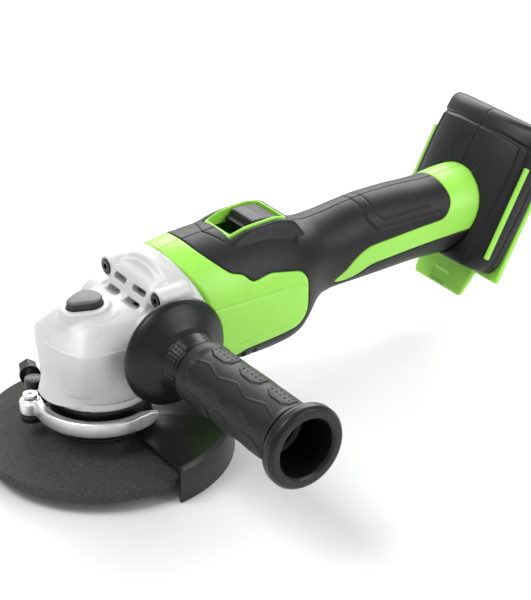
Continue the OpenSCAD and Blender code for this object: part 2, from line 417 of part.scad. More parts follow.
// ---------------------------------------------------------------- battery block
// local frame: x, depth to the rear, up along the block
module tilt() { translate([0,232,60]) rotate([-block_tilt,0,0]) children(); }
function bx(w,d) = [[0,-11.2+d],[14-d*0.5,-11.2+d],[26-d*0.6,-8.2+d],[w-3-d,-3.2+d],[w-d,1+d*0.4],[w-d,12.4+d*0.4]];
module bslice(u,w,f,d) { translate([0,0,u]) linear_extrude(e) polygon([for (q=bx(w,d)) [q[0],q[1]<12 ? q[1]*f : q[1]], for (i=[5:-1:1]) [-bx(w,d)[i][0], bx(w,d)[i][1]<12 ? bx(w,d)[i][1]*f : bx(w,d)[i][1]]]); }
module block(d) { hull() { bslice(-26+d,block_w-8,0.55,d); bslice(-18+d,block_w-1.4,0.8,d); bslice(4,block_w,1,d); bslice(40,block_w,0.95,d); bslice(54-d,block_w-1,0.74,d); bslice(56.5-d,block_w-3,0.5,d); } }
module block_half(side) { difference() {
 intersection() { tilt() block(0); half(side); }
 difference() { tilt() block(2.6);
   for (p=[[42,0]]) tilt() translate([-50,p[1],p[0]]) rotate([0,90,0]) cylinder(r=3.4,h=100,$fn=20); }
 body(0,12,18);
 for (p=[[42,0]]) tilt() { translate([-50,p[1],p[0]]) rotate([0,90,0]) cylinder(r=1.5,h=70,$fn=16); translate([-60,p[1],p[0]]) rotate([0,90,0]) cylinder(r=2.9,h=50,$fn=16); }
 for (s=[-1,1]) tilt() translate([s*block_w-1.2,-3.1,-19]) cube([2.4,3.2,54]);
} }
module block_left() { color(c_black) block_half(-1); }
module block_right() { color(c_black) block_half(1); }
module dock_liner() { color(c_green) tilt() difference() {
 union() {
  translate([-block_w+0.4,12.5,-30]) cube([2*block_w-0.8,3.4,86]);
  hull() { translate([-20,10,-46.4]) cube([40,3,1]); translate([-22,10,-27]) cube([44,5.9,1]); }
  // guide rails for the battery
  for (s=[-1,1]) { translate([s*27-2,15.8,-26]) cube([4,7,66]); translate([s*27-(s>0?6:2),20.8,-26]) cube([8,2.4,66]); }
 }
 translate([-15,8,24]) cube([30,12,20]);
 translate([-14,8,-20]) cube([28,12,26]);
 translate([-6,6,-44]) cube([12,5,7]);
} }
module side_strips() { color(c_green) for (s=[-1,1]) tilt() translate([s*(block_w-0.2)-0.9,-3,-18.8]) cube([1.8,3,53.6]); }
module terminal_block() { color(c_dark) tilt() difference() { translate([-14.8,9.4,24.2]) cube([29.6,11.6,19.6]); for (i=[-1.5:1:1.5]) translate([i*6.6-1.2,14,22]) cube([2.4,9,19]); } }
module terminal_blades() { color([0.8,0.66,0.3]) tilt() for (i=[-1.5:1:1.5]) translate([i*6.6-0.4,14,26]) cube([0.8,6,14.6]); }
module housing_screws() { color(c_dark) {
 for (p=POSTS) translate([-12.2,p[0],p[1]]) rotate([0,90,0]) union() { cylinder(r=1.45,h=22,$fn=24); cylinder(r=2.7,h=2,$fn=24); }
 for (p=[[42,0]]) tilt() translate([-14.2,p[1],p[0]]) rotate([0,90,0]) union() { cylinder(r=1.45,h=26,$fn=24); cylinder(r=2.7,h=2,$fn=24); }
} }

gear_housing();
gearbox_cover();
cover_screws();
head_screws();
spindle_bearing();
spindle_bearing_inner();
needle_bearing();
felt_seal();
spindle();
crown_gear();
crown_circlip();
inner_flange();
flange_nut();
grinding_disc();
disc_hub_ring();
lock_button();
lock_pin();
lock_spring();
lock_cap_ring();
guard_shell();
guard_band();
lever_pin();
adjust_bolt();
adjust_nut();
clamp_lever();
side_handle_stud();
side_handle_core();
side_handle_grip();
motor_shaft();
pinion_gear();
front_bearing();
front_bearing_inner();
rear_bearing();
rear_bearing_inner();
fan();
rotor_core();
rotor_magnets();
stator_core();
stator_insulator();
stator_windings();
sensor_board();
air_baffle();
shell_left();
shell_right();
overmould_left();
overmould_right();
switch_bezel();
switch_slider();
slider_rod();
switch_module();
controller();
wires();
block_left();
block_right();
dock_liner();
side_strips();
terminal_block();
terminal_blades();
housing_screws();
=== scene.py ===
import json
import math
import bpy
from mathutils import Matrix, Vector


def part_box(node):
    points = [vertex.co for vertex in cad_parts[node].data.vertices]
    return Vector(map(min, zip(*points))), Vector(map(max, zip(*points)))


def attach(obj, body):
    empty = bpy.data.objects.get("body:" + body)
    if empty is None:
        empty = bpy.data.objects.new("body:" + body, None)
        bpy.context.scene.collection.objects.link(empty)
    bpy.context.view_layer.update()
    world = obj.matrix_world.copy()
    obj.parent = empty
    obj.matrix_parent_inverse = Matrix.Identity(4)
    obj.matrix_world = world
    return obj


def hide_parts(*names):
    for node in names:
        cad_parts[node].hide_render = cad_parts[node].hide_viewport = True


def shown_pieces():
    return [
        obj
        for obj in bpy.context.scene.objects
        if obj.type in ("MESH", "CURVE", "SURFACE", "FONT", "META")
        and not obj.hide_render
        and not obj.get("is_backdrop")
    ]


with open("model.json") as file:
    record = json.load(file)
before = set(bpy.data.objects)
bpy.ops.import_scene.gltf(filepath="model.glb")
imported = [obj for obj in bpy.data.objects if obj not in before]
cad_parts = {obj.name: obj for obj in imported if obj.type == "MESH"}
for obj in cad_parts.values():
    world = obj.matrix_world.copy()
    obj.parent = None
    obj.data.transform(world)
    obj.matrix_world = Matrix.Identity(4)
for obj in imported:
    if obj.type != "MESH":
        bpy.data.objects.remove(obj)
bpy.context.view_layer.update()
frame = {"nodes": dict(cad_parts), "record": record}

from concurrent.futures import ThreadPoolExecutor
import bpy
import numpy as np
from mathutils import Matrix, Vector

Q = 1.0  # mesh step multiplier
NODES = frame["nodes"]

# ------------------------------------------------------------------ distance fields (mm)
F = np.float32
POOL = ThreadPoolExecutor(4)


def smin(a, b, k):
    h = np.clip(0.5 + 0.5 * (b - a) / k, 0, 1)
    return b + (a - b) * h - k * h * (1 - h)


def smax(a, b, k):
    return -smin(-a, -b, k)


def length(*v):
    s = v[0] * v[0]
    for q in v[1:]:
        s = s + q * q
    return np.sqrt(s)


def sstep(e0, e1, x):
    t = np.clip((x - e0) / (e1 - e0), 0, 1)
    return t * t * (3 - 2 * t)


def box_d(x, y, z, hx, hy, hz, r=0.0):
    qx, qy, qz = abs(x) - (hx - r), abs(y) - (hy - r), abs(z) - (hz - r)
    return length(np.maximum(qx, 0), np.maximum(qy, 0), np.maximum(qz, 0)) + np.minimum(np.maximum(np.maximum(qx, qy), qz), 0) - r


def cyl_d(rad, t, r, h0, h1, k=0.0):
    """rad: distance from the axis, t: along it."""
    dx, dy = rad - (r - k), abs(t - (h0 + h1) / 2) - ((h1 - h0) / 2 - k)
    return length(np.maximum(dx, 0), np.maximum(dy, 0)) + np.minimum(np.maximum(dx, dy), 0) - k


def seg_d(x, y, z, a, b):
    a, b = np.array(a, float), np.array(b, float)
    d = b - a
    px, py, pz = x - a[0], y - a[1], z - a[2]
    h = np.clip((px * d[0] + py * d[1] + pz * d[2]) / (d @ d), 0, 1)
    return length(px - h * d[0], py - h * d[1], pz - h * d[2])


def seg2_d(x, y, a, b):
    dx, dy = b[0] - a[0], b[1] - a[1]
    px, py = x - a[0], y - a[1]
    h = np.clip((px * dx + py * dy) / (dx * dx + dy * dy), 0, 1)
    return length(px - h * dx, py - h * dy)


def line2_d(x, y, pts):
    d = None
    for a, b in zip(pts[:-1], pts[1:]):
        s = seg2_d(x, y, a, b)
        d = s if d is None else np.minimum(d, s)
    return d


def poly2_d(x, y, pts):
    """Signed distance to a closed polygon, negative inside."""
    n = len(pts)
    d = None
    inside = np.zeros(x.shape, bool)
    for i in range(n):
        a, b = pts[i], pts[(i + 1) % n]
        s = seg2_d(x, y, a, b)
        d = s if d is None else np.minimum(d, s)
        cond = (a[1] > y) != (b[1] > y)
        if a[1] != b[1]:
            xi = (b[0] - a[0]) * (y - a[1]) / (b[1] - a[1]) + a[0]
            inside ^= cond & (x < xi)
    return np.where(inside, -d, d)


def round_poly(pts, r, steps=5):
    """Corners of a closed outline replaced by short arcs (quadratic)."""
    out = []
    n = len(pts)
    for i in range(n):
        p, a, b = np.array(pts[i], float), np.array(pts[i - 1], float), np.array(pts[(i + 1) % n], float)
        la, lb = np.linalg.norm(a - p), np.linalg.norm(b - p)
        ca = p + (a - p) / la * min(r, la * 0.45)
        cb = p + (b - p) / lb * min(r, lb * 0.45)
        for t in np.linspace(0, 1, steps):
            out.append(tuple((1 - t) ** 2 * ca + 2 * t * (1 - t) * p + t * t * cb))
    return out


def hull_planes(points):
    import bmesh
    bm = bmesh.new()
    for p in points:
        bm.verts.new(p)
    bmesh.ops.convex_hull(bm, input=bm.verts)
    planes = []
    c = np.mean(points, axis=0)
    for f in bm.faces:
        nrm = np.array(f.normal)
        if not np.isfinite(nrm).all() or np.linalg.norm(nrm) < 0.5 or f.calc_area() < 1e-4:
            continue
        d = float(nrm @ np.array(f.verts[0].co))
        if nrm @ c > d:
            nrm, d = -nrm, -d
        planes.append((nrm, d, f.calc_area()))
    bm.free()
    # nearly parallel faces count as one, the larger one leading
    planes.sort(key=lambda t: -t[2])
    out = []
    for nrm, d, area in planes:
        if not any(np.dot(nrm, q[0]) > 0.9992 for q in out):
            out.append((nrm, float(max(np.array(points) @ nrm))))
    return out


def planes_d(x, y, z, planes, k):
    """Rounded convex solid: k is about the edge radius."""
    m = None
    g = [x * n[0] + y * n[1] + z * n[2] - d for n, d in planes]
    m = g[0]
    for q in g[1:]:
        m = np.maximum(m, q)
    if k <= 0:
        return m
    s = 0
    for q in g:
        s = s + np.exp(np.maximum((q - m) / k, -30))
    return m + k * np.log(s)


def mirrored(pts):
    return [p for p in pts] + [(-p[0], p[1], p[2]) for p in pts if abs(p[0]) > 1e-6]


def evaluate(f, p):
    n = len(p)
    cuts = list(range(0, n, 40000)) + [n]
    out = np.empty(n, F)

    def go(i):
        a, b = cuts[i], cuts[i + 1]
        q = p[a:b]
        out[a:b] = f(q[:, 0], q[:, 1], q[:, 2])

    list(POOL.map(go, range(len(cuts) - 1)))
    return out


def sdf_mesh(f, lo, hi, h, name):
    h = h * Q
    B = 8
    lo = np.array(lo, F) - h * 2.3
    n = np.ceil((np.array(hi) + h * 2.3 - lo) / h / B).astype(int)
    g = np.stack(np.meshgrid(*[np.arange(k) for k in n], indexing="ij"), -1).reshape(-1, 3)
    centres = lo + (g * B + (B - 1) / 2).astype(F) * F(h)
    fc = evaluate(f, centres.astype(F))
    near = abs(fc) < (B * h * 0.87 + h) * 1.7
    V = np.repeat(np.repeat(np.repeat(np.where(fc < 0, F(-99), F(99)).reshape(n), B, 0), B, 1), B, 2)
    off = np.stack(np.meshgrid(*[np.arange(B)] * 3, indexing="ij"), -1).reshape(-1, 3)
    gi = (g[near][:, None, :] * B + off[None]).reshape(-1, 3)
    P = (lo + gi.astype(F) * F(h)).astype(F)
    V[gi[:, 0], gi[:, 1], gi[:, 2]] = evaluate(f, P)
    # surface nets
    S = V < 0
    c = [(i, j, k) for i in (0, 1) for j in (0, 1) for k in (0, 1)]

    def sub(A, o):
        return A[o[0]:A.shape[0] - 1 + o[0], o[1]:A.shape[1] - 1 + o[1], o[2]:A.shape[2] - 1 + o[2]]

    cnt = sum(sub(S, o).astype(np.int8) for o in c)
    cells = np.argwhere((cnt > 0) & (cnt < 8))
    ids = np.full(cnt.shape, -1, np.int32)
    ids[cells[:, 0], cells[:, 1], cells[:, 2]] = np.arange(len(cells))
    vals = {o: V[cells[:, 0] + o[0], cells[:, 1] + o[1], cells[:, 2] + o[2]] for o in c}
    acc, num = np.zeros((len(cells), 3), F), np.zeros(len(cells), F)
    for a in c:
        for ax in range(3):
            if a[ax]:
                continue
            b = tuple(1 if i == ax else a[i] for i in range(3))
            va, vb = vals[a], vals[b]
            m = (va < 0) != (vb < 0)
            t = np.where(m, va / np.where(m, va - vb, 1), 0)
            for i in range(3):
                acc[:, i] += np.where(m, a[i] + (t if i == ax else 0), 0)
            num += m
    verts = lo + (cells + acc / num[:, None]) * h
    faces = []
    for ax in range(3):
        u, w = [(1, 2), (2, 0), (0, 1)][ax]
        s0 = [slice(1, -1)] * 3
        s1 = [slice(1, -1)] * 3
        s0[ax] = slice(0, -1)
        s1[ax] = slice(1, None)
        A, Bm = S[tuple(s0)], S[tuple(s1)]
        e = np.argwhere(A != Bm)
        base = e.copy()
        for i in range(3):
            if i != ax:
                base[:, i] += 1
        flip = A[e[:, 0], e[:, 1], e[:, 2]]
        q = []
        for du, dw in ((-1, -1), (0, -1), (0, 0), (-1, 0)):
            t = base.copy()
            t[:, u] += du
            t[:, w] += dw
            q.append(ids[t[:, 0], t[:, 1], t[:, 2]])
        q = np.stack(q, 1)
        q[~flip] = q[~flip][:, ::-1]
        faces.append(q)
    faces = np.concatenate(faces)
    faces = faces[(faces >= 0).all(1)]
    # pull the points onto the surface
    p = verts.astype(F)
    ep = F(0.12 * h)
    for _ in range(3):
        f0 = evaluate(f, p)
        gr = np.empty_like(p)
        for i in range(3):
            q = p.copy()
            q[:, i] += ep
            r = p.copy()
            r[:, i] -= ep
            gr[:, i] = (evaluate(f, q) - evaluate(f, r)) / (2 * ep)
        g2 = np.maximum((gr * gr).sum(1), 0.15)
        step = (f0 / g2)[:, None] * gr
        ln = np.linalg.norm(step, axis=1)
        p = p - step * np.minimum(1, 0.45 * h / np.maximum(ln, 1e-6))[:, None]
    return p, faces


def new_object(name, p, faces, body, material, replaces=(), smooth=True):
    me = bpy.data.meshes.new(name)
    faces = np.asarray(faces)
    me.vertices.add(len(p))
    me.vertices.foreach_set("co", (np.asarray(p, F) * F(0.001)).ravel())
    k = faces.shape[1]
    me.loops.add(faces.size)
    me.loops.foreach_set("vertex_index", faces.ravel().astype(np.int32))
    me.polygons.add(len(faces))
    me.polygons.foreach_set("loop_start", np.arange(0, faces.size, k, dtype=np.int32))
    me.update(calc_edges=True)
    me.validate()
    if smooth:
        me.polygons.foreach_set("use_smooth", np.ones(len(me.polygons), bool))
    me.materials.append(material)
    ob = bpy.data.objects.new(name, me)
    bpy.context.scene.collection.objects.link(ob)
    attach(ob, body)
    if replaces:
        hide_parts(*replaces)
    return ob


def keep_big(p, faces, least=60):
    """Drops stray islands of only a few faces."""
    n = len(p)
    lab = np.arange(n)
    a, b = faces[:, [0, 1, 2]].ravel(), faces[:, [1, 2, 3]].ravel()
    for _ in range(400):
        m = np.minimum(lab[a], lab[b])
        new = lab.copy()
        np.minimum.at(new, a, m)
        np.minimum.at(new, b, m)
        new = new[new]
        if (new == lab).all():
            break
        lab = new
    cnt = np.bincount(lab[faces[:, 0]], minlength=n)
    ok = cnt[lab[faces[:, 0]]] >= least
    faces = faces[ok]
    used = np.unique(faces)
    remap = np.full(n, -1)
    remap[used] = np.arange(len(used))
    return p[used], remap[faces]


def sdf_piece(name, f, lo, hi, h, body, material, replaces):
    p, fa = sdf_mesh(f, lo, hi, h, name)
    p, fa = keep_big(p, fa)
    print(f"piece {name}: {len(p)} points, {len(fa)} quads")
    return new_object(name, p, fa, body, material, replaces)

# ------------------------------------------------------------------ materials
def srgb(r, g, b):
    def c(v):
        v = v / 255
        return v / 12.92 if v <= 0.04045 else ((v + 0.055) / 1.055) ** 2.4
    return (c(r), c(g), c(b), 1)


class Mat:
    def __init__(self, name, color, rough=0.5, metal=0.0, **kw):
        m = bpy.data.materials.new(name)
        m.use_nodes = True
        self.m, self.t = m, m.node_tree
        self.b = self.t.nodes["Principled BSDF"]
        self.b.inputs["Base Color"].default_value = color
        self.b.inputs["Roughness"].default_value = rough
        self.b.inputs["Metallic"].default_value = metal
        for k, v in kw.items():
            self.b.inputs[k].default_value = v
        self.co = self.t.nodes.new("ShaderNodeTexCoord").outputs["Object"]
        self.height = None
        self.color = color

    def node(self, kind, **kw):
        n = self.t.nodes.new(kind)
        for k, v in kw.items():
            setattr(n, k, v)
        return n

    def link(self, a, b):
        self.t.links.new(a, b)

    def mapped(self, scale=(1, 1, 1)):
        n = self.node("ShaderNodeMapping")
        n.inputs["Scale"].default_value = scale
        self.link(self.co, n.inputs["Vector"])
        return n.outputs["Vector"]

    def noise(self, scale, detail=3, rough=0.5, stretch=None):
        n = self.node("ShaderNodeTexNoise")
        n.inputs["Scale"].default_value = scale
        n.inputs["Detail"].default_value = detail
        n.inputs["Roughness"].default_value = rough
        self.link(self.mapped(stretch) if stretch else self.co, n.inputs["Vector"])
        return n.outputs["Fac"]

    def voronoi(self, scale, feature="F1", out="Distance"):
        n = self.node("ShaderNodeTexVoronoi", feature=feature)
        n.inputs["Scale"].default_value = scale
        self.link(self.co, n.inputs["Vector"])
        return n.outputs[out]

    def ramp(self, fac, a, b, ca=(0, 0, 0, 1), cb=(1, 1, 1, 1)):
        n = self.node("ShaderNodeValToRGB")
        n.color_ramp.elements[0].position = a
        n.color_ramp.elements[1].position = b
        n.color_ramp.elements[0].color = ca
        n.color_ramp.elements[1].color = cb
        self.link(fac, n.inputs["Fac"])
        return n.outputs["Color"]

    def rough_from(self, fac, lo, hi):
        n = self.node("ShaderNodeMapRange")
        n.inputs["To Min"].default_value = lo
        n.inputs["To Max"].default_value = hi
        self.link(fac, n.inputs["Value"])
        self.link(n.outputs["Result"], self.b.inputs["Roughness"])
        return self

    def color_from(self, fac, ca, cb, a=0.35, b=0.65):
        self.link(self.ramp(fac, a, b, ca, cb), self.b.inputs["Base Color"])
        return self

    def bump(self, fac, dist, strength=1.0):
        n = self.node("ShaderNodeBump")
        n.inputs["Distance"].default_value = dist
        n.inputs["Strength"].default_value = strength
        self.link(fac, n.inputs["Height"])
        if self.height is not None:
            self.link(self.height, n.inputs["Normal"])
        self.height = n.outputs["Normal"]
        self.link(self.height, self.b.inputs["Normal"])
        return self


def scaled(c, k):
    return (c[0] * k, c[1] * k, c[2] * k, 1)


def cast_metal():
    c = srgb(206, 206, 205)
    m = Mat("cast_head", c, 0.48, 0.16)
    m.color_from(m.noise(900, 4, 0.6), scaled(c, 0.93), scaled(c, 1.03))
    m.rough_from(m.noise(300, 3), 0.42, 0.56)
    m.bump(m.noise(1500, 4, 0.6), 0.00012, 0.5)
    return m.m


def moulded(name, c, rough=0.42, grain=2600, depth=0.00005, spread=0.05, **kw):
    m = Mat(name, c, rough, 0.0, **kw)
    m.color_from(m.noise(70, 3), scaled(c, 1 - spread), scaled(c, 1 + spread))
    m.rough_from(m.noise(260, 3), rough - 0.05, rough + 0.07)
    m.bump(m.noise(grain, 3, 0.6), depth, 0.6)
    return m.m


def metal(name, c, rough=0.3, stretch=(1, 1, 1), grain=900, depth=0.00002, m_=1.0):
    m = Mat(name, c, rough, m_)
    n = m.noise(grain, 4, 0.6, stretch)
    m.rough_from(n, rough - 0.07, rough + 0.12)
    m.color_from(m.noise(120, 3), scaled(c, 0.9), scaled(c, 1.05))
    m.bump(n, depth, 0.5)
    return m.m


GREEN = srgb(154, 224, 80)
M = {}
M["cast"] = cast_metal()
M["green_plastic"] = moulded("green_plastic", GREEN, 0.36, 2400, 0.00004, 0.03)
M["black_plastic"] = moulded("black_plastic", srgb(17, 17, 19), 0.38, 2600, 0.00005, 0.08, **{"Specular IOR Level": 0.34})
M["soft_grip"] = moulded("soft_overmould", srgb(18, 18, 20), 0.44, 3200, 0.00006, 0.08, **{"Specular IOR Level": 0.34})
M["handle_rubber"] = moulded("handle_rubber", srgb(14, 14, 16), 0.33, 3000, 0.00005, 0.08, **{"Specular IOR Level": 0.36})
M["steel"] = metal("bright_steel", (0.60, 0.60, 0.62, 1), 0.28)
M["black_steel"] = moulded("black_coated_steel", srgb(17, 17, 18), 0.36, 1800, 0.00003, 0.06, **{"Specular IOR Level": 0.45})
M["lever_metal"] = metal("lever_cast", (0.86, 0.86, 0.85, 1), 0.30, (1, 1, 1), 700, 0.00008)
M["copper"] = metal("enamelled_copper", (0.72, 0.30, 0.12, 1), 0.32, (1, 12, 1), 900, 0.0001)
M["brass"] = metal("brass_plain", (0.80, 0.60, 0.25, 1), 0.3)
M["lamination"] = metal("laminated_steel", (0.28, 0.28, 0.30, 1), 0.45, (0.05, 30, 0.05), 700, 0.00012)
M["magnet"] = metal("magnet_plated", (0.25, 0.25, 0.27, 1), 0.35)
M["board"] = moulded("board_mask", srgb(20, 84, 44), 0.3)
M["ivory_plastic"] = moulded("ivory_plastic", srgb(226, 221, 204), 0.45)
M["red_plastic"] = moulded("red_plastic", srgb(150, 26, 22), 0.35)
M["grey_plastic"] = moulded("button_grey", srgb(122, 122, 124), 0.45)


def felt():
    m = Mat("felt", srgb(190, 186, 170), 0.95)
    m.bump(m.noise(4000, 5, 0.7), 0.0004, 0.8)
    m.color_from(m.noise(2500, 4), scaled(srgb(190, 186, 170), 0.8), srgb(200, 196, 180))
    return m.m


M["felt"] = felt()


def abrasive():
    m = Mat("abrasive_grit", srgb(52, 51, 49), 0.8)
    v = m.voronoi(1500, "F1")
    n = m.noise(700, 6, 0.65)
    mix = m.node("ShaderNodeMix", data_type="RGBA", blend_type="MULTIPLY")
    mix.inputs["Factor"].default_value = 0.85
    m.link(m.ramp(n, 0.3, 0.72, scaled(srgb(64, 63, 61), 0.6), scaled(srgb(92, 91, 88), 1.0)), mix.inputs["A"])
    m.link(m.ramp(v, 0.05, 0.6, (1.25, 1.22, 1.18, 1), (0.45, 0.45, 0.45, 1)), mix.inputs["B"])
    m.link(mix.outputs["Result"], m.b.inputs["Base Color"])
    m.rough_from(n, 0.62, 0.95)
    m.bump(v, 0.0005, 0.9)
    m.bump(n, 0.0005, 0.7)
    return m.m


M["abrasive"] = abrasive()
SLOT = {s["node"]: s["material_slot"] for s in frame["record"]["subparts"]}
for n, o in NODES.items():
    o.data.materials.clear()
    o.data.materials.append(M[SLOT[n]])

# ------------------------------------------------------------------ shapes
MZ = 59.0
HEAD_MAIN = hull_planes(mirrored([
    (0, -29, 35.4), (10, -27.3, 35.4), (19, -22.4, 35.4), (26.6, -10, 35.4), (27.6, 4, 35.4), (27.9, 33, 35.4),
    (0, -30.6, 56), (12, -28.4, 56), (23.4, -23.4, 56), (27.6, -12, 56), (28.6, 4, 56), (28.8, 33, 56),
    (0, -30.1, 59.6), (12, -27.9, 59.6), (22.7, -22.7, 59.6), (27.1, -11.7, 59.6), (28.1, 4, 59.6), (28.3, 33, 59.6),
    (0, -19, 70), (9, -17.6, 70), (15, -12.5, 70), (17.6, -4, 70), (18, 14, 70), (24, 33, 70),
    (0, -12, 72.6), (7, -10, 72.6), (10, -2, 72.6), (10, 14, 72.6), (14, 33, 72.6)]))
VENT_BLOCK = hull_planes(mirrored([(18.2, 14, 66), (18.2, 14, 70.6), (16.5, 22.2, 78), (16.5, 22.2, 81.8), (9, 21.6, 83),
    (17.5, 34, 66), (17.5, 34, 85), (8, 34, 88), (0, 21.4, 83.4)]))
SHIELD = round_poly([(-13, 6), (13, 6), (14.5, -4), (9.5, -15), (0, -20.5), (-9.5, -15), (-14.5, -4)], 4)


def button2(x, y):
    """2D distance to the lock button's outline: a rounded triangle pointing forwards."""
    L, ra, rb = 7.4, 7.1, 4.1
    s = (ra - rb) / L
    c = math.sqrt(1 - s * s)
    px, py = abs(x), -(y + 4.6)
    v = py * c - px * s
    d1 = length(px, py) - ra
    d2 = length(px, py - L) - rb
    d3 = px * c + py * s - ra
    return np.where(v < 0, d1, np.where(v > L * c, d2, d3))


def head_d(x, y, z):
    xs = abs(x)
    d = planes_d(x, y, z, HEAD_MAIN, 0.45)
    rho = length(x, y)
    # round lower barrel
    lower = cyl_d(rho, z, 27.8, 31.2, 44, 1.0)
    lower = np.maximum(lower, (rho - 26.9) * 0.9 - (z - 31.2) * 0.3)
    d = smin(d, lower, 0.7)
    # the front underside tucks in above the barrel
    d = np.maximum(d, 31.2 - z)
    # shallow shield on the top
    sh = poly2_d(x, y, SHIELD)
    d = d + 0.35 * sstep(-0.6, 0.8, sh) * (z > 60)
    vb = planes_d(x, y, z, VENT_BLOCK, 0.8)
    d = smin(d, vb, 2.2)
    # flare to the motor housing
    rm = length(x, z - MZ)
    flare = np.maximum(rm - (27.5 + (y - 27) * 0.5).clip(0, 32.2), np.maximum(27 - y, y - 52))
    d = smin(d, flare, 3.0)
    # hood over the screws, behind the vent block
    hood = cyl_d(length(x, z - MZ), y, 30.4, 29, 40, 2.0)
    d = smin(d, np.maximum(hood, 60 - z), 2.0)
    # screw ears
    for zz in (-16.5, 18.5):
        ear = cyl_d(length(xs - 22.5, z - MZ - zz), y, 5.5, 19.9, 38, 0.7)
        d = smin(d, ear, 2.0)
    # side handle bosses
    d = smin(d, cyl_d(length(y - 18, z - MZ), xs, 11.6, 20, 29.2, 0.8), 1.6)
    # button collar
    b2 = button2(x, y)
    collar = smax(b2 - 3.4 + (z - 74.6) * 0.28, z - 74.6, 1.2)
    d = smin(d, collar, 1.8)
    # keep to the front of the housing
    nose = np.where(y < 60, length(x, y - 93) - 56.75, -5.0)
    d = np.maximum(d, -nose)
    d = np.minimum(d, cyl_d(rm, y, 28.4, 30, 41.7, 0.3))
    # openings
    d = smax(d, -np.maximum(b2 - 0.45, 70.0 - z), 0.5)
    for s, zz in ((0, 78.0), (1, 72.1)):
        yy = 18.2 - 3.4 * s
        c60, s60 = math.cos(math.radians(60)), math.sin(math.radians(60))
        lx, ly, lz = xs - 8.5, y - yy, z - zz
        un = ly * (-s60) + lz * c60   # out of the face
        ut = ly * c60 + lz * s60
        slotd = box_d(lx, ut, un + 2.5, 5.5, 1.6, 5.5, 1.3)
        d = smax(d, -slotd, 0.6)
    d = np.maximum(d, -box_d(x, y - 36.5, z - 76.5, 12, 13.5, 3.4, 1.5))
    d = np.maximum(d, -cyl_d(rho, z, 21.3, 20, 55, 0.2))
    d = np.maximum(d, -cyl_d(rm, y, 9.4, -8, 28.5, 0.2))
    d = np.maximum(d, -cyl_d(rm, y, 11, 27, 36.5, 0.1))
    d = np.maximum(d, -cyl_d(rm, y, 25.4, 36, 60, 0.1))
    d = np.maximum(d, -cyl_d(rho, z, 6, 50, 67.8, 0.1))
    d = np.maximum(d, -cyl_d(length(x, y + 9.6), z, 3.9, 50, 90, 0.1))
    d = smax(d, -cyl_d(length(y - 18, z - MZ), xs, 4.0, 17, 60, 0.1), 0.3)
    for zz in (-16.5, 18.5):
        d = smax(d, -cyl_d(length(xs - 22.5, z - MZ - zz), y, 4.0, 5, 23.3, 0.1), 0.5)
        d = np.maximum(d, -cyl_d(length(xs - 22.5, z - MZ - zz), y, 2.05, 22, 60, 0.0))
    return d


# ---- main housing loft
SEC = np.array([[36, 32, 91, 27, 59, 2.0, 2.4], [42, 33, 92.2, 25.4, 59, 2.05, 2.6], [52, 33.6, 93.2, 24.5, 59, 2.1, 2.8],
    [68, 33.6, 93.7, 24.2, 59, 2.1, 2.8], [86, 33.2, 93.6, 24.2, 59, 2.1, 2.8], [98, 32, 92.4, 24.6, 59, 2.1, 2.8],
    [106, 30.4, 89.6, 25.6, 59.5, 2.1, 2.7], [111, 28.4, 87, 28, 60, 2.1, 2.6], [116, 25.8, 84.8, 32.2, 61, 2.1, 2.5],
    [121, 23.4, 83.2, 36.8, 62, 2.1, 2.4], [128, 21.2, 82.4, 39.8, 62.4, 2.1, 2.3], [138, 20.2, 82.8, 40.3, 62.6, 2.1, 2.2],
    [152, 20, 84.4, 40, 62.6, 2.1, 2.2], [168, 20, 85.4, 39.8, 62.6, 2.1, 2.2], [184, 20, 85, 39.8, 62.6, 2.1, 2.2],
    [198, 20.4, 83.8, 39.6, 62.4, 2.1, 2.2], [210, 21.6, 83, 39, 62, 2.1, 2.2], [227, 23.4, 83.6, 38.6, 62, 2.1, 2.2],
    [246, 23.4, 83.6, 38.6, 62, 2.1, 2.2]], float)


def pchip(xs, ys, xq):
    h = np.diff(xs)
    dl = np.diff(ys) / h
    m = np.zeros(len(xs))
    for i in range(1, len(xs) - 1):
        if dl[i - 1] * dl[i] > 0:
            w1, w2 = 2 * h[i] + h[i - 1], h[i] + 2 * h[i - 1]
            m[i] = (w1 + w2) / (w1 / dl[i - 1] + w2 / dl[i])
    m[0], m[-1] = dl[0], dl[-1]
    i = np.clip(np.searchsorted(xs, xq) - 1, 0, len(xs) - 2)
    t = (xq - xs[i]) / h[i]
    return ((2 * t**3 - 3 * t**2 + 1) * ys[i] + (t**3 - 2 * t**2 + t) * h[i] * m[i] + (-2 * t**3 + 3 * t**2) * ys[i + 1] + (t**3 - t**2) * h[i] * m[i + 1])


TY = np.linspace(30, 246, 1200)
TAB = [pchip(SEC[:, 0], SEC[:, i], np.clip(TY, 36, 246)) for i in range(1, 7)]


def body_d(x, y, z):
    w, zt, zb, zc, nt, nb = [np.interp(y, TY, t).astype(F) for t in TAB]
    dz = z - zc
    up = dz >= 0
    h = np.where(up, zt - zc, zc - zb)
    n = np.where(up, nt, nb)
    ax, az = abs(x) / w + 1e-6, abs(dz) / h + 1e-6
    q = (ax**n + az**n) ** (1 / n)
    r = length(x, dz) + 1e-5
    return r * (1 - 1 / q)


PANEL = round_poly([(20, 10), (20, 110), (49, 110), (49.5, 93), (52, 90), (62, 81), (68.5, 79.3), (72.5, 74.5), (84, 76), (93.6, 73.8), (103.5, 71),
    (107.4, 66), (107.4, 47.5), (105, 42.5), (100.5, 39.6), (68.3, 38), (58, 33), (50, 20), (44, 10)], 2.5, 4)
STRIPE = round_poly([(131, 50.5), (140, 47.6), (148.5, 48.8), (156.3, 53.6), (201.7, 55.4), (219.6, 57), (232, 58), (232, 100), (212.5, 100), (212.5, 75),
    (205.5, 66.8), (154.2, 65.2), (146, 61.5), (138.5, 54.5)], 4, 4)


